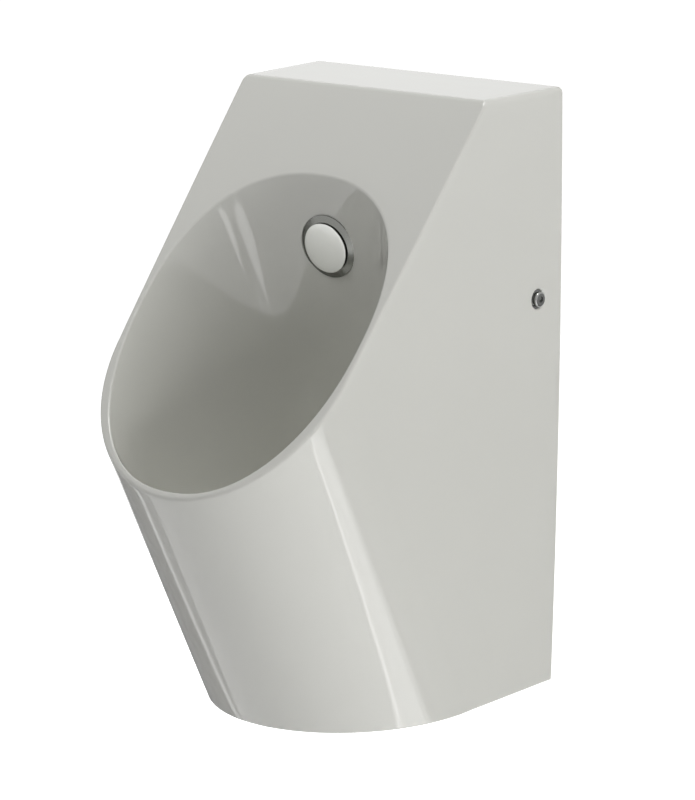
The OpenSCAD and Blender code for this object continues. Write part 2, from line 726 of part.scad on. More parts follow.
module outlet_seal() {
    color("dimgray") on_outlet() translate([0, 0, port_d - trap_seal_t])
        ring(port_r_out, outlet_r + seal_play, trap_seal_t);
}
module outlet_nut() {
    color("whitesmoke") on_outlet() translate([0, 0, port_d - trap_seal_t - gap - nut_wall])
        difference() {
            ribbed_ring(port_r_out + nut_wall, outlet_r + gap, outlet_nut_len);
            translate([0, 0, nut_wall])
                cylinder(r = port_r_out + thread_play, h = outlet_nut_len, $fn = facets);
        }
}
module outlet_pipe() {
    color("whitesmoke") on_outlet() {
        ring(outlet_r, outlet_r - pipe_wall, port_d + socket_len - over);
        translate([0, 0, spigot_len]) ring(outlet_r + pipe_wall, outlet_r - pipe_wall / 2, pipe_wall);
    }
}

module bracket() {
    wall_x = arm_x - bracket_w;
    color("lightsteelblue") difference() {
        translate([0, 0, fix_z - bracket_h / 2]) linear_extrude(bracket_h) {
            translate([wall_x, -steel_t]) square([bracket_w - bend_out_r, steel_t]);
            translate([arm_x - steel_t, -arm_d]) square([steel_t, arm_d - bend_out_r]);
            translate([arm_x - bend_out_r, -bend_out_r]) intersection() {
                difference() {
                    circle(r = bend_out_r, $fn = facets);
                    circle(r = bend_out_r - steel_t, $fn = facets);
                }
                square(bend_out_r);
            }
        }
        for (side = [-1, 1]) translate([bolt_span_x / 2, over, fix_z + side * bolt_span_z / 2])
            rotate([90, 0, 0]) cylinder(r = bolt_hole_r, h = steel_t + 2 * over, $fn = facets);
        translate([arm_x - steel_t - over, -fix_d, fix_z]) rotate([0, 90, 0])
            cylinder(r = screw_r + arm_play, h = steel_t + 2 * over, $fn = facets);
    }
}
module right_bracket() {
    bracket();
}
module left_bracket() {
    mirror([1, 0, 0]) bracket();
}
module bracket_nuts() {
    color("lightsteelblue") both_sides()
        translate([arm_x - steel_t - weld_nut_t, -fix_d, fix_z]) rotate([0, 90, 0])
            hex_nut(weld_nut_across, screw_r + screw_play, weld_nut_t);
}
module fixing_sleeves() {
    color("ivory") both_sides() on_fixing() {
        translate([0, 0, -china_t - side_gap - spacer_t])
            ring(sleeve_flange_r, screw_r + gap, spacer_t);
        translate([0, 0, -china_t - side_gap - gap])
            ring(fix_hole_r - gap, screw_r + gap,
                china_t + side_gap + gap - hole_depth - washer_t);
    }
}
module cup_washers() {
    color("silver") both_sides() on_fixing() translate([0, 0, -hole_depth - washer_t])
        ring(fix_hole_r - washer_play, screw_r + gap, washer_t);
}
module screw() {
    color("silver") on_fixing() difference() {
        union() {
            translate([0, 0, -hole_depth]) rotate_extrude($fn = facets) head_outline();
            translate([0, 0, -screw_len])
                cylinder(r = screw_r, h = screw_len - hole_depth + gap, $fn = facets);
        }
        translate([0, 0, head_proud - socket_d])
            cylinder(r = socket_across / 2 / cos(30), h = socket_d + over, $fn = 6);
    }
}
// Half section of the screw head, with a rounded outer edge
module head_outline() {
    h = hole_depth + head_proud;
    r = head_edge_r;
    polygon(concat([[0, 0], [head_r, 0]],
        [for (a = [0:15:90]) [head_r - r + r * cos(a), h - r + r * sin(a)]], [[0, h]]));
}
module right_screw() {
    screw();
}
module left_screw() {
    mirror([1, 0, 0]) screw();
}

ceramic_body();
spray_cap();
cap_ring();
spray_body();
spray_front_seal();
spray_back_seal();
spray_lock_nut();
feed_washer();
feed_union_nut();
feed_tube();
strainer();
drain_seal();
waste_flange();
waste_back_seal();
waste_lock_nut();
trap_seal();
trap_union_nut();
trap_body();
cup_ring();
trap_cup();
outlet_seal();
outlet_nut();
outlet_pipe();
left_bracket();
right_bracket();
bracket_nuts();
fixing_sleeves();
cup_washers();
left_screw();
right_screw();
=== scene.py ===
import math
import bpy
import numpy as np
from mathutils import Matrix, Vector


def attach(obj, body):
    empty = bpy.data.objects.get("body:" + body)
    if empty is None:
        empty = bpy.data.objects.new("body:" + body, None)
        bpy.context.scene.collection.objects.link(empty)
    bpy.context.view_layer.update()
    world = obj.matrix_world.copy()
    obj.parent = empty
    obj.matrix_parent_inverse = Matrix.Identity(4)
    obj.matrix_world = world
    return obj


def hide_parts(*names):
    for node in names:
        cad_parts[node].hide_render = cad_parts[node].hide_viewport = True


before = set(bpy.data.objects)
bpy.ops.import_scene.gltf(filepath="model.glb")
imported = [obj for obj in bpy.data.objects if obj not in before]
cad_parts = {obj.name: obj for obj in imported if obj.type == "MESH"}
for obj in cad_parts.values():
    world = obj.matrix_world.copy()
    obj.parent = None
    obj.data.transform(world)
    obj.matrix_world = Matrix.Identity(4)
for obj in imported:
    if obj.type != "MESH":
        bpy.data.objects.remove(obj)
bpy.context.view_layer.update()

# Bowl, sloping front and skirt are one hollow slip casting of vitreous china, open at the wall
# and under the bowl, glazed and fired once. Lengths are in millimetres, angles in radians.
BODY_W, BODY_H, TOP_D = 314.0, 604.0, 115.3
SLOPE, LEAN, SIDE_DRAFT = math.radians(40.7), math.radians(26.2), math.radians(2.2)
SIDE_TAPER, SIDE_CROWN, CROWN_SHARE = 3.7, 3.2, 0.69
FLANK_D, NOSE_D, NOSE_N = 129.5, 159.5, 2.0
CHINA_T, EDGE_R, CORNER_R, FOOT_R, FOOT_LIFT = 10.0, 3.2, 6.0, 2.0, 4.0
OPEN_W, OPEN_LEN, OPEN_GAP, OPEN_N, EGG = 275.0, 349.5, 102.0, 2.25, 0.06
OPEN_MID, LIP_R = OPEN_GAP + OPEN_LEN / 2, 2.4
BACK_TILT, INNER_LEAN, DRAW = math.radians(11), math.radians(27.5), math.radians(14)
KNEE_Z, FLOOR_Z, FLOOR_T, WASTE_Y, FLAT_R = 222.0, 160.0, 17.0, -220.0, 46.0
UNDER_Z = FLOOR_Z - FLOOR_T


def signed_power(v, n):
    """Half of a superellipse coordinate: the sign of v times its size to the power 2 / n."""
    return np.sign(v) * np.abs(v) ** (2 / n)


def unit(v):
    """Each row of v divided by its own length."""
    return v / np.linalg.norm(v, axis=-1, keepdims=True)


def xyz(x, y, z):
    """Coordinates of any matching shapes, stacked as rows of points."""
    return np.stack(np.broadcast_arrays(x, y, z), axis=-1).astype(float)


def mix(a, b, t):
    """a at t = 0, b at t = 1, and a straight line between them."""
    return a + (b - a) * t


def quad_curve(a, b, c, t):
    """Quadratic Bezier curve from a to c, drawn towards b: the rounding of an edge at b."""
    return (1 - t) ** 2 * a + 2 * t * (1 - t) * b + t * t * c


def cubic_curve(a, b, c, d, t):
    """Cubic Bezier curve from a to d with handles b and c."""
    return (1 - t) ** 3 * a + 3 * t * (1 - t) ** 2 * b + 3 * t * t * (1 - t) * c + t ** 3 * d


def half_width(z, d):
    """Half the width at a height and a depth: crowned up the side as a parabola, with a taper
    towards the bottom edge and a draft towards the front."""
    return (BODY_W / 2 - SIDE_CROWN * (2 * (z / BODY_H - CROWN_SHARE)) ** 2
            - SIDE_TAPER * (1 - z / BODY_H) - d * math.tan(SIDE_DRAFT))


def slope_y(z):
    """Depth of the sloping front plane at a height."""
    return -TOP_D - (BODY_H - z) * math.tan(SLOPE)


def nose(a, z, inset=0.0):
    """Skirt: a superellipse of angle a about the middle, which leans forward with height."""
    z = np.broadcast_to(z, np.shape(a))
    flank = FLANK_D + z * math.tan(LEAN)
    return xyz((half_width(z, flank) - inset) * signed_power(np.sin(a), NOSE_N),
               -flank - (NOSE_D - inset) * signed_power(np.cos(a), NOSE_N), z)


def nose_z(a, inset=0.0, depth=0.0):
    """Height at which the skirt's line at angle a reaches the front plane, less a depth."""
    reach = TOP_D + BODY_H * math.tan(SLOPE) - depth / math.cos(SLOPE) - FLANK_D
    return ((reach - (NOSE_D - inset) * signed_power(np.cos(a), NOSE_N))
            / (math.tan(LEAN) + math.tan(SLOPE)))


# Half the outline is five stretches: nose, fan (the bottom corner at the wall), flank, corner
# and top. The fan and the flank share the side edge; s runs from 0 to 1 along each stretch.
EDGE_Z = float(nose_z(np.array(math.pi / 2)))
NOSE_RUN = (EDGE_Z - float(nose_z(np.array(0.0)))) / math.cos(SLOPE)
FAN_SHARE, FAN_BACK, FOOT_FROM, FOOT_TO = 0.14, 0.3, 0.6, 0.8
CORNER_FROM, CORNER_TO = math.radians(142), math.radians(152)


def side_share(part, s):
    """Share of the side edge used up by a column of the bottom corner or of the flank."""
    return FAN_SHARE * s if part == "fan" else mix(FAN_SHARE, 1.0, s)


def front_loop(part, s, inset, r, depth=1.0):
    """Outline of the front above the skirt: side, rounded corner and straight top, at a share
    of the depth of the front plane."""
    far = inset + r
    if part in ("fan", "flank"):
        z = mix(EDGE_Z, BODY_H - far, side_share(part, s))
        return half_width(z, -depth * slope_y(z)) - inset, z
    top_w = half_width(BODY_H - far, -depth * slope_y(BODY_H - far)) - far
    if part == "corner":
        a = s * math.pi / 2
        return top_w + r * np.cos(a), BODY_H - far + r * np.sin(a)
    return top_w * (1 - s), BODY_H - inset + 0 * s


def on_skin(part, s, p, inset=0.0):
    """Points of a column moved across onto the crowned side, drawn in by an inset."""
    if part == "nose":
        across = nose(s * math.pi / 2, p[:, 2], inset)[:, 0]
    elif part in ("fan", "flank"):
        across = half_width(p[:, 2], -p[:, 1]) - inset
    else:
        return p
    return xyz(across, p[:, 1], p[:, 2])


def edge(part, s):
    """Sharp edge between the front plane and the skin, before it is rounded."""
    if part == "nose":
        a = s * math.pi / 2
        return nose(a, nose_z(a))
    x, z = front_loop(part, s, 0.0, CORNER_R)
    return xyz(x, slope_y(z), z)


def edge_on_front(part, s):
    """The edge drawn in by its radius across the front plane, square to the edge's ellipse."""
    if part != "nose":
        x, z = front_loop(part, s, EDGE_R, CORNER_R - EDGE_R)
        return xyz(x, slope_y(z), z)
    p = edge(part, s)
    half = half_width(p[:, 2], FLANK_D + p[:, 2] * math.tan(LEAN))
    down = (EDGE_Z - p[:, 2]) / math.cos(SLOPE)
    n = unit(np.stack([(p[:, 0] / half) ** (NOSE_N - 1) / half,
                       (down / NOSE_RUN) ** (NOSE_N - 1) / NOSE_RUN], axis=-1))
    return p - EDGE_R * xyz(n[:, 0], -n[:, 1] * math.sin(SLOPE), -n[:, 1] * math.cos(SLOPE))


def edge_on_skin(part, s):
    """The edge drawn down the skin by its radius."""
    if part == "nose":
        a = s * math.pi / 2
        return nose(a, nose_z(a) - EDGE_R)
    return on_skin(part, s, edge(part, s) + [0, EDGE_R, 0])


def wall_ring(part, s, inset, r):
    """Outline on the wall plane, drawn in by an inset, with rounded lower corners."""
    a = s * math.pi / 2
    w = half_width(0, 0) - inset - r
    if part == "nose":
        x, z = w * signed_power(np.sin(a), NOSE_N), inset + 0 * s
    elif part == "fan":
        x, z = w + r * np.sin(a), inset + r - r * np.cos(a)
    elif part == "flank":
        z = mix(inset + r, BODY_H - inset - CORNER_R, s)
        x = half_width(z, 0) - inset
    else:
        x, z = front_loop(part, s, inset, CORNER_R, 0.0)
    return xyz(x, 0.0, z)


def foot(part, s, t, inset, r, start):
    """Rounding from the skin to the underside at share t, or a point on the flank."""
    a = s * math.pi / 2
    if part == "nose":
        return quad_curve(nose(a, inset + r, inset), nose(a, inset, inset),
                          nose(a, inset, inset + r), t)
    if part == "fan":
        turn, y = mix(math.pi / 2, a, t), -FLANK_D * (1 - FAN_BACK * s) + r * t
        return xyz(half_width(0, -y) - inset - r + r * np.sin(turn), y,
                   inset + r - r * np.cos(turn) + FOOT_LIFT * s * (1 - t))
    back = mix(FOOT_FROM, FOOT_TO, t)
    return on_skin(part, s, mix(start, wall_ring(part, s, inset, r), back), inset)


def open_angle(part, s):
    """Angle on the opening that belongs to a column: 0 at its lowest point, 180 at its top."""
    if part == "nose":
        return s * math.pi / 2
    if part in ("fan", "flank"):
        return mix(math.pi / 2, CORNER_FROM, side_share(part, s))
    return mix(CORNER_FROM, CORNER_TO, s) if part == "corner" else mix(CORNER_TO, math.pi, s)


def open_share(part, s):
    """Egg-shaped superellipse of the opening, as shares of its half width and half length."""
    a = open_angle(part, s)
    return (signed_power(np.sin(a), OPEN_N) * (1 - EGG * np.cos(a)),
            signed_power(np.cos(a), OPEN_N))


def open_normal(part, s):
    """Direction out of the opening in the front plane."""
    u, v = open_share(part, s)
    return unit(np.stack([np.abs(u) ** (OPEN_N - 1) / (OPEN_W / 2),
                          np.sign(v) * np.abs(v) ** (OPEN_N - 1) / (OPEN_LEN / 2)], axis=-1))


def rim(part, s, out=0.0):
    """The opening's edge in the front plane, moved outwards by a distance."""
    (u, v), n = open_share(part, s), open_normal(part, s)
    across = u * OPEN_W / 2 + out * n[:, 0]
    down = OPEN_MID + v * OPEN_LEN / 2 + out * n[:, 1]
    return xyz(across, -TOP_D - down * math.sin(SLOPE), BODY_H - down * math.cos(SLOPE))


def wall_run(part, s):
    """Way the bowl's wall runs for a drop of one: drawn in at the sides, and leaning forwards
    at the front and the back."""
    u, v = open_share(part, s)
    lean = (math.tan(INNER_LEAN) + math.tan(BACK_TILT)) / 2
    spread = (math.tan(INNER_LEAN) - math.tan(BACK_TILT)) / 2
    return xyz(-u * math.tan(DRAW), lean + spread * v, -1.0)


def knee_points(part, s):
    """Points where the bowl's straight wall ends and its sweep to the floor starts."""
    top, run = rim(part, s), wall_run(part, s)
    return top + run * (top[:, 2:] - KNEE_Z)


def out_of_waste(part, s):
    """Level direction from the waste to the knee of the bowl."""
    return unit(knee_points(part, s)[:, :2] - [0, WASTE_Y])


def flat_ring(part, s, z):
    """Edge of the flat floor, or of the boss under it."""
    d = out_of_waste(part, s)
    return xyz(FLAT_R * d[:, 0], FLAT_R * d[:, 1] + WASTE_Y, z)


SWEEP_DROP, SWEEP_REACH, SWEEP_RISE = 0.7, 0.5, 0.08


def bowl_lines(part, s, p):
    """Bowl points at a share p that differs from column to column: a straight wall from the
    rim to the knee up to p = 0.5, then a cubic sweep to the flat floor."""
    run, knee, d, p = wall_run(part, s), knee_points(part, s), out_of_waste(part, s), p[:, None]
    flat = flat_ring(part, s, FLOOR_Z)
    reach = SWEEP_REACH * np.linalg.norm(knee[:, :2] - flat[:, :2], axis=1, keepdims=True)
    sweep = cubic_curve(knee, knee + run * (KNEE_Z - FLOOR_Z) * SWEEP_DROP,
                        flat + reach * xyz(d[:, 0], d[:, 1], SWEEP_RISE), flat, 2 * p - 1)
    return np.where(p < 0.5, mix(rim(part, s), knee, 2 * p), sweep)


AHEAD = 0.01


def behind(part, s, p):
    """Back of the bowl's wall, one china thickness behind its face at each column's share p.
    The way out is level and square to the wall, which a short step ahead gives."""
    q = np.minimum(p, 1 - AHEAD)
    here, ahead = bowl_lines(part, s, p), bowl_lines(part, s, q + AHEAD)
    along = unit(ahead - bowl_lines(part, s, q))
    n, d = open_normal(part, s), out_of_waste(part, s)
    flat = unit(mix(xyz(n[:, 0], -n[:, 1], 0.0), xyz(d[:, 0], d[:, 1], 0.0), p[:, None]))
    out = unit(flat - along * np.sum(flat * along, axis=1, keepdims=True))
    return here + CHINA_T * out


def front_depth(p):
    """Distance of points behind the front plane."""
    return (p[:, 1] - slope_y(p[:, 2])) * math.cos(SLOPE)


def between(a, b, n):
    """The rows between a and b, where n rows lie evenly from the one to the other."""
    return [mix(a, b, t) for t in np.linspace(0, 1, n)[1:-1]]


# Rows of the bowl's sweep, its wall, a rounding, the front plane, the skin, the underside and
# the inside of the shell; and where the bowl's back leaves the inside of the front.
BOWL_ROWS, WALL_ROWS, ROUND_ROWS, FRONT_ROWS = 33, 25, 8, 7
SKIN_ROWS, UNDER_ROWS, INSIDE_ROWS = 25, 17, 9
PART_SHARE, PART_POWER, PROBE = 0.78, 1.5, 0.1


def column_rows(part, s):
    """All rows of the casting for columns at shares s of one stretch of the outline:
    floor, bowl, lip, front, edge, skin, foot, wall rim, and back inside to the boss."""
    rounding = np.linspace(0, 1, ROUND_ROWS)
    rows = [bowl_lines(part, s, np.full(s.shape, p)) for p in np.linspace(1, 0.5, BOWL_ROWS)]
    lip = [rim(part, s) + LIP_R * wall_run(part, s), rim(part, s), rim(part, s, LIP_R)]
    rows += between(rows[-1], lip[0], WALL_ROWS) + [quad_curve(*lip, t) for t in rounding]
    turn = [edge_on_front(part, s), edge(part, s), edge_on_skin(part, s)]
    rows += between(rows[-1], turn[0], FRONT_ROWS) + [quad_curve(*turn, t) for t in rounding]
    start = rows[-1]
    foot_top = foot(part, s, 0.0, 0.0, FOOT_R, start)
    rows += [on_skin(part, s, p) for p in between(start, foot_top, SKIN_ROWS)]
    rows += [foot(part, s, t, 0.0, FOOT_R, start) for t in rounding]
    outer, inner = wall_ring(part, s, 0.0, FOOT_R), wall_ring(part, s, CHINA_T, FOOT_R)
    rows += between(rows[-1], outer, UNDER_ROWS) + [outer, mix(outer, inner, 0.5), inner]
    a = front_depth(behind(part, s, 0 * s))
    b = front_depth(behind(part, s, np.full(s.shape, PROBE)))
    low = PART_SHARE * ((1 + open_share(part, s)[1]) / 2) ** PART_POWER
    split = np.maximum((CHINA_T - a) / (b - a) * PROBE, low)
    deep = front_depth(behind(part, s, split))
    if part == "nose":
        t = s * math.pi / 2
        inner_edge = nose(t, nose_z(t, CHINA_T, deep), CHINA_T)
    else:
        x, z = front_loop(part, s, CHINA_T, CORNER_R)
        inner_edge = xyz(x, slope_y(z) + deep / math.cos(SLOPE), z)
    turn_in = [foot(part, s, t, CHINA_T, FOOT_R, inner_edge)
               for t in np.linspace(1, 0, ROUND_ROWS)]
    rows += between(inner, turn_in[0], UNDER_ROWS) + turn_in
    rows += between(turn_in[-1], inner_edge, INSIDE_ROWS) + [inner_edge]
    rows += [behind(part, s, mix(split, 1.0, t)) for t in np.linspace(0, 1, BOWL_ROWS)]
    return np.array(rows + [flat_ring(part, s, UNDER_Z)])


MM = 0.001


def ring_mesh(name, rows, first, last):
    """Closed surface through rows of points (row, column, xyz) in millimetres, whose columns
    go round, closed by a fan to a single point at the first and the last row."""
    n_rows, n_cols = rows.shape[:2]
    points = np.concatenate([rows.reshape(-1, 3), [first, last]]) * MM
    j, i = np.meshgrid(np.arange(n_rows - 1), np.arange(n_cols), indexing="ij")
    k = (i + 1) % n_cols
    quads = np.stack([j * n_cols + i, j * n_cols + k, (j + 1) * n_cols + k,
                      (j + 1) * n_cols + i], axis=-1).reshape(-1, 4)
    i = np.arange(n_cols)
    k, base, tip = (i + 1) % n_cols, (n_rows - 1) * n_cols, n_rows * n_cols
    caps = np.concatenate([np.stack([np.full(n_cols, tip), k, i], axis=-1),
                           np.stack([np.full(n_cols, tip + 1), base + i, base + k], axis=-1)])
    mesh = bpy.data.meshes.new(name)
    mesh.from_pydata(points, [], quads.tolist() + caps.tolist())
    mesh.update()
    return mesh


def put(name, mesh):
    """A mesh as an object of the scene, at the origin and unturned."""
    thing = bpy.data.objects.new(name, mesh)
    bpy.context.scene.collection.objects.link(thing)
    return thing


# Columns along each stretch. All but the first leave out their own first column, which is the
# last one of the stretch before, and the other half of the casting is the mirror of this one.
COLUMNS = {"nose": 61, "fan": 9, "flank": 37, "corner": 9, "top": 17}
shares = {part: np.linspace(0, 1, n) for part, n in COLUMNS.items()}
half = np.concatenate([column_rows(part, s if part == "nose" else s[1:])
                       for part, s in shares.items()], axis=1)
grid = np.concatenate([half, half[:, -2:0:-1] * [-1, 1, 1]], axis=1)
china = put("china", ring_mesh("china", grid, (0, WASTE_Y, FLOOR_Z), (0, WASTE_Y, UNDER_Z)))
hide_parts("ceramic_body")
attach(china, "urinal")


def turned(profile, steps, place):
    """Surface of revolution: a profile of (radius, height) swept round the local z axis in
    steps, then set in place by a matrix. Its first and last heights give the closing points."""
    a = np.linspace(0, 2 * math.pi, steps, endpoint=False)
    r, h = np.array(profile, float).T[:, 1:-1]
    rows = xyz(r[:, None] * np.cos(a), r[:, None] * np.sin(a), h[:, None])
    m = np.array(place)
    ends = [(m @ [0, 0, profile[e][1], 1])[:3] for e in (0, -1)]
    return rows @ m[:3, :3].T + m[:3, 3], ends


CUT_STEPS = 96


def plug(profile, place):
    """A solid of revolution to cut with."""
    rows, (first, last) = turned(profile, CUT_STEPS, place)
    return put("plug", ring_mesh("plug", rows, first, last))


def bore(heights, radii):
    """Profile of a stepped hole: each radius holds from one height to the next."""
    walls = [(r, h) for r, ends in zip(radii, zip(heights, heights[1:])) for h in ends]
    return [(0, heights[0])] + walls + [(0, heights[-1])]


def drill(thing, cutters):
    """Cuts solids out of a piece, keeps the result as its mesh and removes the solids."""
    for cutter in cutters:
        cut = thing.modifiers.new("cut", "BOOLEAN")
        cut.solver, cut.operation, cut.object = "EXACT", "DIFFERENCE", cutter
    graph = bpy.context.evaluated_depsgraph_get()
    mesh = bpy.data.meshes.new_from_object(thing.evaluated_get(graph))
    thing.modifiers.clear()
    thing.data = mesh
    for cutter in cutters:
        bpy.data.objects.remove(cutter)


# Holes punched in the leather-hard clay: spray head, waste, a countersunk one in each side, and
# a long one in the foot. Each cut runs past the clay; heights are along the hole's own axis.
SPRAY_Z, STEM_HOLE_R, STEM_CUT, COLLAR_SEAT_R, SEAT_CUT = 455.0, 11.6, 30.0, 32.5, 12.0
NUT_SEAT_R, NUT_SEAT, NUT_CUT = 19.3, 9.2, 22.0
WASTE_HOLE_R, FLANGE_SEAT_R = 31.5, 41.3
WASTE_CUT_FROM, FLANGE_SEAT_Z, WASTE_CUT_TO = 138.0, 155.0, 165.0
FIX_Z, FIX_D, FIX_R, SINK, FIX_CUT = 400.0, 36.0, 10.0, 1.0, 15.0
ACCESS_R, ACCESS_RUN, ACCESS_CUT = 54.0, 120.0, 5.0
SHARP = math.radians(32)

spray_y = (-TOP_D - OPEN_GAP * math.sin(SLOPE)
           + (BODY_H - OPEN_GAP * math.cos(SLOPE) - SPRAY_Z) * math.tan(BACK_TILT))
on_sprayer = (Matrix.Translation((0, spray_y, SPRAY_Z))
              @ Matrix.Rotation(math.pi / 2 + BACK_TILT, 4, "X"))
on_right = (Matrix.Translation((half_width(FIX_Z, FIX_D), -FIX_D, FIX_Z))
            @ Matrix.Rotation(math.pi / 2, 4, "Y"))
on_left = Matrix.Scale(-1, 4, (1, 0, 0)) @ on_right
on_waste = Matrix.Translation((0, WASTE_Y, 0))
sunk_hole = [(0, -FIX_CUT), (FIX_R, -FIX_CUT), (FIX_R, -SINK), (FIX_R + 2 * SINK, SINK), (0, SINK)]
cutters = [
    plug(bore((-STEM_CUT, 0, SEAT_CUT), (STEM_HOLE_R, COLLAR_SEAT_R)), on_sprayer),
    plug(bore((-NUT_CUT, -NUT_SEAT), (NUT_SEAT_R,)), on_sprayer),
    plug(bore((WASTE_CUT_FROM, FLANGE_SEAT_Z, WASTE_CUT_TO), (WASTE_HOLE_R, FLANGE_SEAT_R)),
         on_waste),
    plug(sunk_hole, on_right), plug(sunk_hole, on_left)]
a = np.linspace(0, 2 * math.pi, CUT_STEPS, endpoint=False)
slot_y = np.where(np.sin(a) > 0, ACCESS_RUN, 0.0) + WASTE_Y + ACCESS_R * np.sin(a)
slot_z = (-ACCESS_CUT, CHINA_T + ACCESS_CUT)
slot = np.array([xyz(ACCESS_R * np.cos(a), slot_y, z) for z in slot_z])
cutters.append(put("plug", ring_mesh("plug", slot, *[(0, WASTE_Y, z) for z in slot_z])))
drill(china, cutters)
china.data.shade_smooth()
china.data.set_sharp_from_angle(angle=SHARP)


def linear(code):
    """A colour of six sRGB hex digits as linear red, green, blue and full alpha."""
    c = np.array([int(code[i:i + 2], 16) / 255 for i in (0, 2, 4)])
    return (*np.where(c <= 0.04045, c / 12.92, ((c + 0.055) / 1.055) ** 2.4), 1.0)


def add(tree, kind, inputs=(), **settings):
    """Adds a node with its settings, and with its inputs set to values or linked to sockets."""
    new = tree.nodes.new(kind)
    for key, value in settings.items():
        setattr(new, key, value)
    for key, value in dict(inputs).items():
        if isinstance(value, bpy.types.NodeSocket):
            tree.links.new(value, new.inputs[key])
        else:
            new.inputs[key].default_value = value
    return new


def blank(name):
    """A new material without nodes, and its tree."""
    material = bpy.data.materials.new(name)
    material.use_nodes = True
    material.node_tree.nodes.clear()
    return material, material.node_tree


# Vitreous china under a clear-white glaze, fired glossy: the glaze is level to the touch but
# pulls slightly over a hand's width, so what it mirrors wavers, and its white clouds a little.
# The scale of a noise is how many of its features fit along a metre: 14 is one every 70 mm.
glaze, tree = blank("glazed vitreous china")
place = add(tree, "ShaderNodeTexCoord").outputs["Object"]
pull = add(tree, "ShaderNodeTexNoise", {"Vector": place, "Scale": 14.0, "Detail": 1.0})
level = add(tree, "ShaderNodeBump", {
    "Height": pull.outputs["Fac"], "Strength": 0.1, "Distance": 0.0006})
clouds = add(tree, "ShaderNodeTexNoise", {"Vector": place, "Scale": 6.0, "Detail": 2.0})
tint = add(tree, "ShaderNodeMix", {
    "Factor": clouds.outputs["Fac"], "A": linear("D8D8D2"), "B": linear("DBDBD5")},
    data_type="RGBA")
body = add(tree, "ShaderNodeBsdfPrincipled", {
    "Base Color": tint.outputs["Result"], "Roughness": 0.06, "IOR": 1.52,
    "Normal": level.outputs["Normal"]})
add(tree, "ShaderNodeOutputMaterial", {"Surface": body.outputs["BSDF"]})
china.data.materials.clear()
china.data.materials.append(glaze)


def plated(name, colour, scale, detail, smooth, hazy, more=()):
    """A plated metal: a noise of a scale and detail takes its roughness from smooth to hazy."""
    material, tree = blank(name)
    place = add(tree, "ShaderNodeTexCoord").outputs["Object"]
    haze = add(tree, "ShaderNodeTexNoise", {"Vector": place, "Scale": scale, "Detail": detail})
    rough = add(tree, "ShaderNodeMapRange", {
        "Value": haze.outputs["Fac"], "To Min": smooth, "To Max": hazy})
    body = add(tree, "ShaderNodeBsdfPrincipled", {
        "Base Color": linear(colour), "Metallic": 1.0, "Roughness": rough.outputs["Result"],
        **dict(more)})
    add(tree, "ShaderNodeOutputMaterial", {"Surface": body.outputs["BSDF"]})
    return material


# Spray cap: moulded plastic, plated with satin chrome and lacquered clear, which gives a soft
# glow under a sharp sheen. Its post, with a groove for the ring seal, pushes into the collar.
CAP_R, CAP_T, CAP_BACK, CAP_EDGE_R, CAP_RIM, CAP_STEPS = 25.2, 1.6, 5.2, 0.6, 4.0, 128
POST_R, POST_BORE, POST_LEN = 5.92, 3.2, 9.0
GROOVE_R, GROOVE_FROM, GROOVE_TO = 4.5, -5.8, -4.2
cap_front = CAP_BACK + CAP_T
cap_profile = [
    (0, CAP_BACK), (POST_BORE, CAP_BACK), (POST_BORE, -POST_LEN), (POST_R, -POST_LEN),
    (POST_R, GROOVE_FROM), (GROOVE_R, GROOVE_FROM), (GROOVE_R, GROOVE_TO), (POST_R, GROOVE_TO),
    (POST_R, CAP_BACK), (CAP_R - CAP_T, CAP_BACK),
    (CAP_R - CAP_EDGE_R / 2, CAP_BACK + CAP_EDGE_R / 2)]
cap_profile += [(CAP_R + CAP_EDGE_R * (math.cos(t) - 1), cap_front + CAP_EDGE_R * (math.sin(t) - 1))
                for t in np.radians(np.arange(0, 91, 10))]
cap_profile += [(CAP_R - CAP_RIM, cap_front), (0, cap_front)]
rows, (first, last) = turned(cap_profile, CAP_STEPS, on_sprayer)
cap = put("cap", ring_mesh("cap", rows, first, last))
cap.data.shade_smooth()
cap.data.set_sharp_from_angle(angle=SHARP)
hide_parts("spray_cap")
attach(cap, "spray_cap")
cap.data.materials.append(plated("lacquered satin chrome", "D4D5D1", 400.0, 1.0, 0.3, 0.36,
                                 {"Coat Weight": 1.0, "Coat Roughness": 0.03}))


def dress(material, *names):
    """Gives CAD nodes a material in place of the one they came with."""
    for name in names:
        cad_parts[name].data.materials.clear()
        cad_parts[name].data.materials.append(material)


# Spray collar: turned brass, clamped to the bowl by its threaded stem. It is blasted and then
# plated with satin nickel, which mirrors the bowl softly and gives back a fifth of its light.
nickel = plated("satin nickel plate", "80817D", 900.0, 2.0, 0.2, 0.3)
dress(nickel, "spray_body")

# Waste flange of brass and water tube of copper: both are polished and chrome plated, clear
# mirrors with hardly any haze. The flange is clamped through the bowl's floor, and the tube runs
# from the spray head into the wall.
chrome = plated("polished chrome plate", "D9DADB", 160.0, 3.0, 0.05, 0.12)
dress(chrome, "waste_flange", "feed_tube")

# Lock nut and union nut behind the bowl: hexagons turned and drilled from brass bar, whose fine
# tool marks, some 3 mm apart here so that they show, scatter what it mirrors.
brass, tree = blank("machined brass")
place = add(tree, "ShaderNodeTexCoord").outputs["Object"]
marks = add(tree, "ShaderNodeTexNoise", {"Vector": place, "Scale": 300.0, "Detail": 2.0})
rough = add(tree, "ShaderNodeMapRange", {
    "Value": marks.outputs["Fac"], "To Min": 0.2, "To Max": 0.38})
cuts = add(tree, "ShaderNodeBump", {
    "Height": marks.outputs["Fac"], "Strength": 0.15, "Distance": 0.0001})
body = add(tree, "ShaderNodeBsdfPrincipled", {
    "Base Color": linear("C9A961"), "Metallic": 1.0, "Roughness": rough.outputs["Result"],
    "Normal": cuts.outputs["Normal"]})
add(tree, "ShaderNodeOutputMaterial", {"Surface": body.outputs["BSDF"]})
dress(brass, "spray_lock_nut", "feed_union_nut")

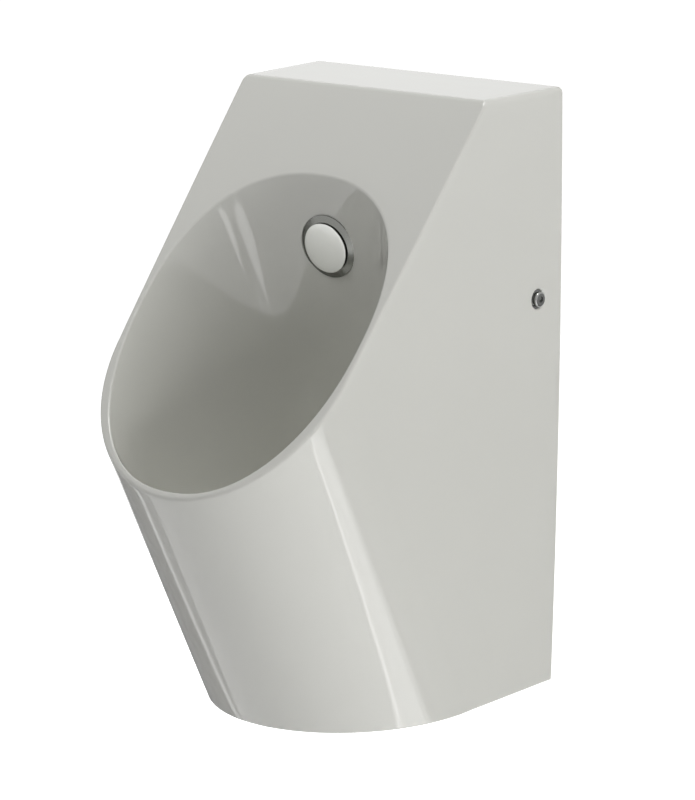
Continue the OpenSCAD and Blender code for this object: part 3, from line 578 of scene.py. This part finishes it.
# Seals: cut or moulded from black rubber, pressed between the pieces that they join. They are
# matt, with a faint grey bloom in patches of about a centimetre.
rubber, tree = blank("black rubber")
place = add(tree, "ShaderNodeTexCoord").outputs["Object"]
bloom = add(tree, "ShaderNodeTexNoise", {"Vector": place, "Scale": 90.0, "Detail": 4.0})
tint = add(tree, "ShaderNodeMix", {
    "Factor": bloom.outputs["Fac"], "A": linear("1E1E1E"), "B": linear("2B2B2A")},
    data_type="RGBA")
grain = add(tree, "ShaderNodeBump", {
    "Height": bloom.outputs["Fac"], "Strength": 0.2, "Distance": 0.0002})
body = add(tree, "ShaderNodeBsdfPrincipled", {
    "Base Color": tint.outputs["Result"], "Roughness": 0.68, "Normal": grain.outputs["Normal"]})
add(tree, "ShaderNodeOutputMaterial", {"Surface": body.outputs["BSDF"]})
dress(rubber, "spray_front_seal", "spray_back_seal", "feed_washer", "cap_ring", "drain_seal",
      "waste_back_seal", "trap_seal", "cup_ring", "outlet_seal")

# Strainer: a disc punched from stainless sheet, with a turned lifting knob, laid in the waste.
# It is brushed along one way: long fine lines, 0.7 mm apart, which blur what it mirrors.
steel, tree = blank("brushed stainless steel")
place = add(tree, "ShaderNodeTexCoord").outputs["Object"]
along = add(tree, "ShaderNodeMapping", {"Vector": place, "Scale": (40.0, 1400.0, 40.0)})
lines = add(tree, "ShaderNodeTexNoise", {
    "Vector": along.outputs["Vector"], "Scale": 1.0, "Detail": 3.0})
rough = add(tree, "ShaderNodeMapRange", {
    "Value": lines.outputs["Fac"], "To Min": 0.22, "To Max": 0.42})
cuts = add(tree, "ShaderNodeBump", {
    "Height": lines.outputs["Fac"], "Strength": 0.2, "Distance": 0.00005})
body = add(tree, "ShaderNodeBsdfPrincipled", {
    "Base Color": linear("C4C5C4"), "Metallic": 1.0, "Roughness": rough.outputs["Result"],
    "Normal": cuts.outputs["Normal"]})
add(tree, "ShaderNodeOutputMaterial", {"Surface": body.outputs["BSDF"]})
dress(steel, "strainer")

# Trap, its nuts and the waste pipe: injection-moulded white polypropylene, screwed and pushed
# together. The eroded tool leaves a satin skin with a grain of 1.4 mm.
poly, tree = blank("moulded polypropylene")
place = add(tree, "ShaderNodeTexCoord").outputs["Object"]
grain = add(tree, "ShaderNodeTexNoise", {"Vector": place, "Scale": 700.0, "Detail": 2.0})
skin = add(tree, "ShaderNodeBump", {
    "Height": grain.outputs["Fac"], "Strength": 0.12, "Distance": 0.0001})
body = add(tree, "ShaderNodeBsdfPrincipled", {
    "Base Color": linear("E6E6E2"), "Roughness": 0.36, "IOR": 1.49,
    "Normal": skin.outputs["Normal"]})
add(tree, "ShaderNodeOutputMaterial", {"Surface": body.outputs["BSDF"]})
dress(poly, "waste_lock_nut", "trap_union_nut", "trap_body", "trap_cup", "outlet_nut",
      "outlet_pipe")

# Wall brackets: folded from 4 mm steel strip, punched, with a nut welded on, then zinc plated
# and screwed to the wall. The zinc shows as flakes of 4 to 5 mm, grey and bluish by turns.
zinc, tree = blank("zinc-plated steel")
place = add(tree, "ShaderNodeTexCoord").outputs["Object"]
flakes = add(tree, "ShaderNodeTexVoronoi", {"Vector": place, "Scale": 220.0})
tint = add(tree, "ShaderNodeMix", {
    "Factor": flakes.outputs["Distance"], "A": linear("A9B0B5"), "B": linear("C3C8CA")},
    data_type="RGBA")
rough = add(tree, "ShaderNodeMapRange", {
    "Value": flakes.outputs["Distance"], "To Min": 0.28, "To Max": 0.45})
body = add(tree, "ShaderNodeBsdfPrincipled", {
    "Base Color": tint.outputs["Result"], "Metallic": 1.0, "Roughness": rough.outputs["Result"]})
add(tree, "ShaderNodeOutputMaterial", {"Surface": body.outputs["BSDF"]})
dress(zinc, "left_bracket", "right_bracket", "bracket_nuts")

# Sleeves in the side holes: turned from natural nylon and pushed in, so that steel doesn't bear
# on china. They are slightly waxy and uneven in tone, over 15 to 20 mm.
nylon, tree = blank("natural nylon")
place = add(tree, "ShaderNodeTexCoord").outputs["Object"]
cast = add(tree, "ShaderNodeTexNoise", {"Vector": place, "Scale": 60.0, "Detail": 2.0})
tint = add(tree, "ShaderNodeMix", {
    "Factor": cast.outputs["Fac"], "A": linear("DAD5C4"), "B": linear("E2DDCE")},
    data_type="RGBA")
body = add(tree, "ShaderNodeBsdfPrincipled", {
    "Base Color": tint.outputs["Result"], "Roughness": 0.4, "IOR": 1.53,
    "Subsurface Weight": 0.1, "Subsurface Scale": 0.002})
add(tree, "ShaderNodeOutputMaterial", {"Surface": body.outputs["BSDF"]})
dress(nylon, "fixing_sleeves")

# Side screws and their cup washers: steel under a dark chrome plate, a clear mirror that gives
# back about a third of the light, with the faint haze of handling. They hold the china to the
# brackets from the sides.
dark_chrome = plated("dark chrome plate", "979896", 400.0, 3.0, 0.06, 0.14)
dress(dark_chrome, "left_screw", "right_screw", "cup_washers")

# The camera stands where the photograph was taken from: its turn, height, roll, distance and
# focal length were fitted to the object's edges. Lengths of the scene are in metres.
AZIMUTH, ELEVATION, ROLL = math.radians(39.287), math.radians(13.551), math.radians(-0.412)
TARGET, DISTANCE = Vector((0, -0.1465, 0.302)), 3.397
PHOTO_W, PHOTO_H, SENSOR_MM, FOCAL_PX = 695, 800, 36, 3452.5
CENTRE_X, CENTRE_Y = 344.292, 395.499
back = Vector((math.sin(AZIMUTH) * math.cos(ELEVATION), -math.cos(AZIMUTH) * math.cos(ELEVATION),
               math.sin(ELEVATION)))
camera = bpy.data.objects.new("camera", bpy.data.cameras.new("camera"))
camera.location = TARGET + back * DISTANCE
camera.rotation_euler = (Matrix.Rotation(ROLL, 3, back)
                         @ back.to_track_quat("Z", "Y").to_matrix()).to_euler()
camera.data.lens = FOCAL_PX * SENSOR_MM / PHOTO_H
camera.data.shift_x = (PHOTO_W / 2 - CENTRE_X) / PHOTO_H
camera.data.shift_y = (CENTRE_Y - PHOTO_H / 2) / PHOTO_H
camera.data.clip_end = 60
bpy.context.scene.collection.objects.link(camera)
bpy.context.scene.camera = camera


def seen_share(tree):
    """1 for a ray from the camera or out of gloss or glass, and 0 for one that gives light."""
    path = add(tree, "ShaderNodeLightPath")
    seen = add(tree, "ShaderNodeMath", {
        0: path.outputs["Is Camera Ray"], 1: path.outputs["Is Glossy Ray"]}, operation="MAXIMUM")
    return add(tree, "ShaderNodeMath", {
        0: seen.outputs[0], 1: path.outputs["Is Transmission Ray"]}, operation="MAXIMUM").outputs[0]


# Floor: a sheet of pale paper well below the piece, which hangs as on its wall. Its glow turns
# it white to the eye and in mirrors, and gives the piece no light.
FLOOR_Z_M, FLOOR_HALF, FLOOR_GLOW = -0.45, 9, 0.96
floor = put("floor", bpy.data.meshes.new("floor"))
floor.data.from_pydata([(x * FLOOR_HALF, y * FLOOR_HALF, FLOOR_Z_M)
                        for x, y in ((-1, -1), (1, -1), (1, 1), (-1, 1))], [], [(0, 1, 2, 3)])
paper, tree = blank("pale paper floor")
glow = add(tree, "ShaderNodeMath", {0: seen_share(tree), 1: FLOOR_GLOW}, operation="MULTIPLY")
sheet = add(tree, "ShaderNodeBsdfDiffuse", {"Color": linear("EFEFEF")})
lift = add(tree, "ShaderNodeEmission", {"Strength": glow.outputs[0]})
both = add(tree, "ShaderNodeAddShader", {0: sheet.outputs[0], 1: lift.outputs[0]})
add(tree, "ShaderNodeOutputMaterial", {"Surface": both.outputs[0]})
floor.data.materials.append(paper)

# Grey cards lie on the floor out of the picture and show only in mirrored light: a dark one and
# a paler one at the left give the glaze its dark edge, and the one behind fades out far away.
CARD_LIFT = 0.005


def floor_card(name, corners, glow, fade=None):
    """A flat card with an even glow, or one that rises from glow to 1 over the two distances of
    fade from the origin."""
    card = put(name, bpy.data.meshes.new(name))
    card.data.from_pydata([(x, y, FLOOR_Z_M + CARD_LIFT) for x, y in corners], [],
                          [range(len(corners))])
    card.visible_camera = card.visible_diffuse = card.visible_shadow = False
    grey, tree = blank(name)
    if fade:
        place = add(tree, "ShaderNodeTexCoord").outputs["Object"]
        away = add(tree, "ShaderNodeVectorMath", {0: place}, operation="LENGTH").outputs["Value"]
        glow = add(tree, "ShaderNodeMapRange", {
            "Value": away, "From Min": fade[0], "From Max": fade[1],
            "To Min": glow, "To Max": 1.0}).outputs["Result"]
    sheet = add(tree, "ShaderNodeEmission", {"Color": (1, 1, 1, 1), "Strength": glow})
    add(tree, "ShaderNodeOutputMaterial", {"Surface": sheet.outputs[0]})
    card.data.materials.append(grey)


floor_card("dark card", [(-2.0, -0.25), (-0.45, -0.25), (-0.45, 0.7), (-2.0, 0.7)], 0.3)
floor_card("pale card", [(-2.0, -1.18), (-0.45, -0.3), (-0.45, -0.29), (-2.0, -0.42)], 0.62)
floor_card("far card", [(0.55, 0.1), (3.5, 0.1), (8.5, 5.0), (8.5, 8.5), (0.55, 8.5)], 0.2,
           (2.5, 8.0))

# Room: white walls, so what the camera and the mirrors see around the floor is white, while
# little of their light reaches the piece.
ROOM_LIGHT = 0.15
world = bpy.data.worlds.new("studio")
bpy.context.scene.world = world
world.use_nodes = True
tree = world.node_tree
tree.nodes.clear()
level = add(tree, "ShaderNodeMapRange", {
    "Value": seen_share(tree), "To Min": ROOM_LIGHT, "To Max": 1.0})
sky = add(tree, "ShaderNodeBackground", {
    "Color": (1, 1, 1, 1), "Strength": level.outputs["Result"]})
add(tree, "ShaderNodeOutputWorld", {"Surface": sky.outputs[0]})


def panel(name, width, height, watts):
    """A soft rectangular lamp that the camera doesn't see, not yet set in place."""
    data = bpy.data.lights.new(name, "AREA")
    data.shape, data.size, data.size_y, data.energy = "RECTANGLE", width, height, watts
    thing = bpy.data.objects.new(name, data)
    thing.visible_camera = False
    bpy.context.scene.collection.objects.link(thing)
    return thing


# Soft lamps on stands around the piece, all turned to its middle. Only the one overhead shows in
# the glaze, as the sheen of the top; the others would put white squares into the bowl.
LAMP_AIM = Vector((0, -0.2, 0.3))
for name, at, width, height, watts in (
        ("overhead", (0, -0.2, 2.7), 1.0, 1.0, 23),
        ("right side", (2.36, -0.2, 0.6), 1.0, 1.2, 23.6),
        ("left back", (-1.14, -1.34, 2.08), 1.0, 1.0, 9.4),
        ("behind", (0, 2.2, 1.2), 1.2, 1.2, 14),
        ("low front", (1.66, -1.86, -0.2), 1.0, 0.3, 6.7)):
    lamp = panel(name, width, height, watts)
    lamp.location = at
    lamp.rotation_euler = (Vector(at) - LAMP_AIM).to_track_quat("Z", "Y").to_euler()
    lamp.visible_glossy = name == "overhead"

# Narrow lamps lie on the floor and shine up, each between two points and a little above it. They
# show only in the glaze, as the bright streaks down the bowl and along the nose.
for name, (x0, y0), (x1, y1), width, watts, lift in (
        ("bowl streak", (2.3, -2.95), (1.6, -2.29), 0.2, 1.6, 0.01),
        ("bowl streak 2", (1.15, -2.45), (0.8, -2.06), 0.3, 1.2, 0.01),
        ("nose band", (0.455, -0.08), (1.505, -0.08), 0.22, 1.05, 0.01),
        ("nose line", (0.455, -0.19), (1.505, -0.19), 0.03, 0.24, 0.02)):
    strip = panel(name, math.hypot(x1 - x0, y1 - y0), width, watts)
    strip.matrix_world = (
        Matrix.Translation(((x0 + x1) / 2, (y0 + y1) / 2, FLOOR_Z_M + lift))
        @ Matrix.Rotation(math.atan2(y1 - y0, x1 - x0), 4, "Z") @ Matrix.Rotation(math.pi, 4, "X"))
    strip.visible_diffuse = False

bpy.context.scene.view_settings.view_transform = "Standard"
